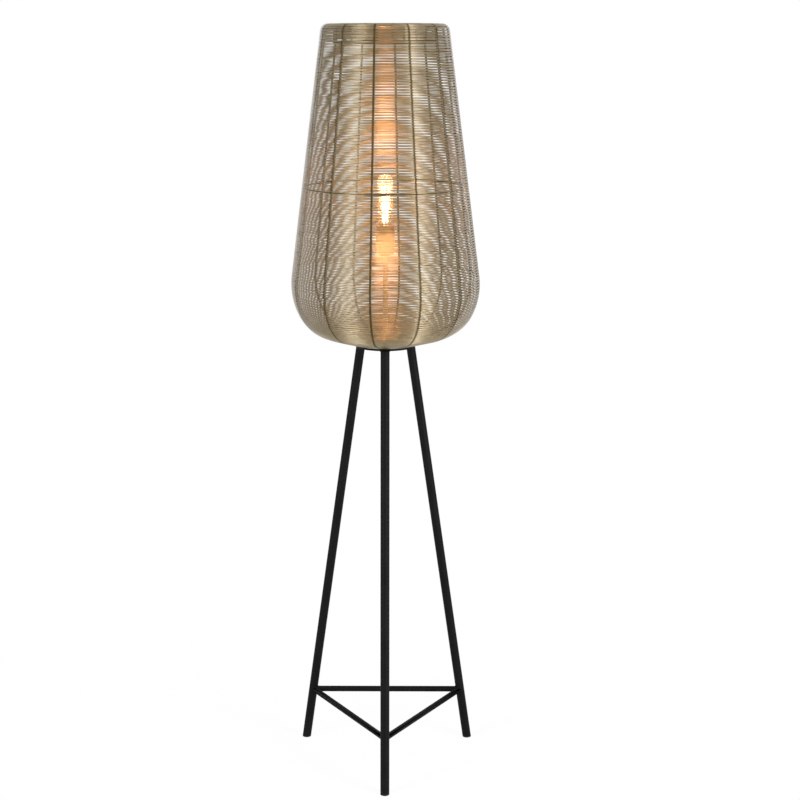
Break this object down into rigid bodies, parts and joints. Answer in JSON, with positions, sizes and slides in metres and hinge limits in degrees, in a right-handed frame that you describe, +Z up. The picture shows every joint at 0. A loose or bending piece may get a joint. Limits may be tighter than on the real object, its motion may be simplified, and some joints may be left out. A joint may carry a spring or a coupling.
{
  "type": "floor lamp",
  "caption": "Floor lamp with a black tripod stand and a flared brass wire cage wound round bent ribs, lit by a long tubular bulb.",
  "frame": {"origin": "on the floor under the lamp's axis, at the centre of the circle through the feet", "axes": "+Z up along the lamp's axis; the front leg points to -Y; +X to the right seen from the front"},
  "size_m": [0.3774, 0.3976, 1.5113],
  "materials": {
    "black_steel": "satin black powder coat",
    "black_plastic": "matt",
    "rib_brass": "satin, slightly darker than the wire",
    "wire_brass": "drawn wire, bright satin",
    "zinc_steel": "zinc plated",
    "holder_brass": "polished",
    "porcelain": "glazed insulating body",
    "clear_glass": "clear",
    "stem_glass": "clear",
    "filament": "warm light-giving sticks",
    "bulb_metal": "plain",
    "black_glass": "glossy"
  },
  "bodies": {
    "lamp": {"cage_base_ring": "rib_brass", "cage_collar_ring": "rib_brass", "cage_mid_hoop": "rib_brass", "cage_rib_01": "rib_brass", "cage_rib_02": "rib_brass", "cage_rib_03": "rib_brass", "cage_rib_04": "rib_brass", "cage_rib_05": "rib_brass", "cage_rib_06": "rib_brass", "cage_rib_07": "rib_brass", "cage_rib_08": "rib_brass", "cage_rib_09": "rib_brass", "cage_rib_10": "rib_brass", "cage_rib_11": "rib_brass", "cage_rib_12": "rib_brass", "cord_bushing": "black_plastic", "crossbar": "rib_brass", "crossbar_nuts": "zinc_steel", "foot_front": "black_plastic", "foot_left": "black_plastic", "foot_right": "black_plastic", "holder_cap": "holder_brass", "holder_contact": "holder_brass", "holder_core": "porcelain", "holder_locknut": "zinc_steel", "holder_ring": "holder_brass", "holder_screw_shell": "holder_brass", "holder_sleeve": "holder_brass", "leg_front": "black_steel", "leg_left": "black_steel", "leg_right": "black_steel", "plate_nuts": "zinc_steel", "plate_washers": "zinc_steel", "stretcher_back": "black_steel", "stretcher_left": "black_steel", "stretcher_right": "black_steel", "threaded_tube": "zinc_steel", "top_plate": "black_steel", "wire_winding_1": "wire_brass", "wire_winding_2": "wire_brass", "wire_winding_3": "wire_brass", "wire_winding_4": "wire_brass", "wire_winding_5": "wire_brass", "wire_winding_6": "wire_brass"},
    "bulb": {"bulb_button": "bulb_metal", "bulb_cap": "bulb_metal", "bulb_filaments": "filament", "bulb_glass": "clear_glass", "bulb_insulator": "black_glass", "bulb_stem": "stem_glass", "bulb_support_wires": "bulb_metal"}
  },
  "joints": [
    {"name": "bulb_lift_out", "type": "slide", "parent": "lamp", "child": "bulb", "axis": [0, 0, 1], "range_m": [0, 0.43]}
  ]
}
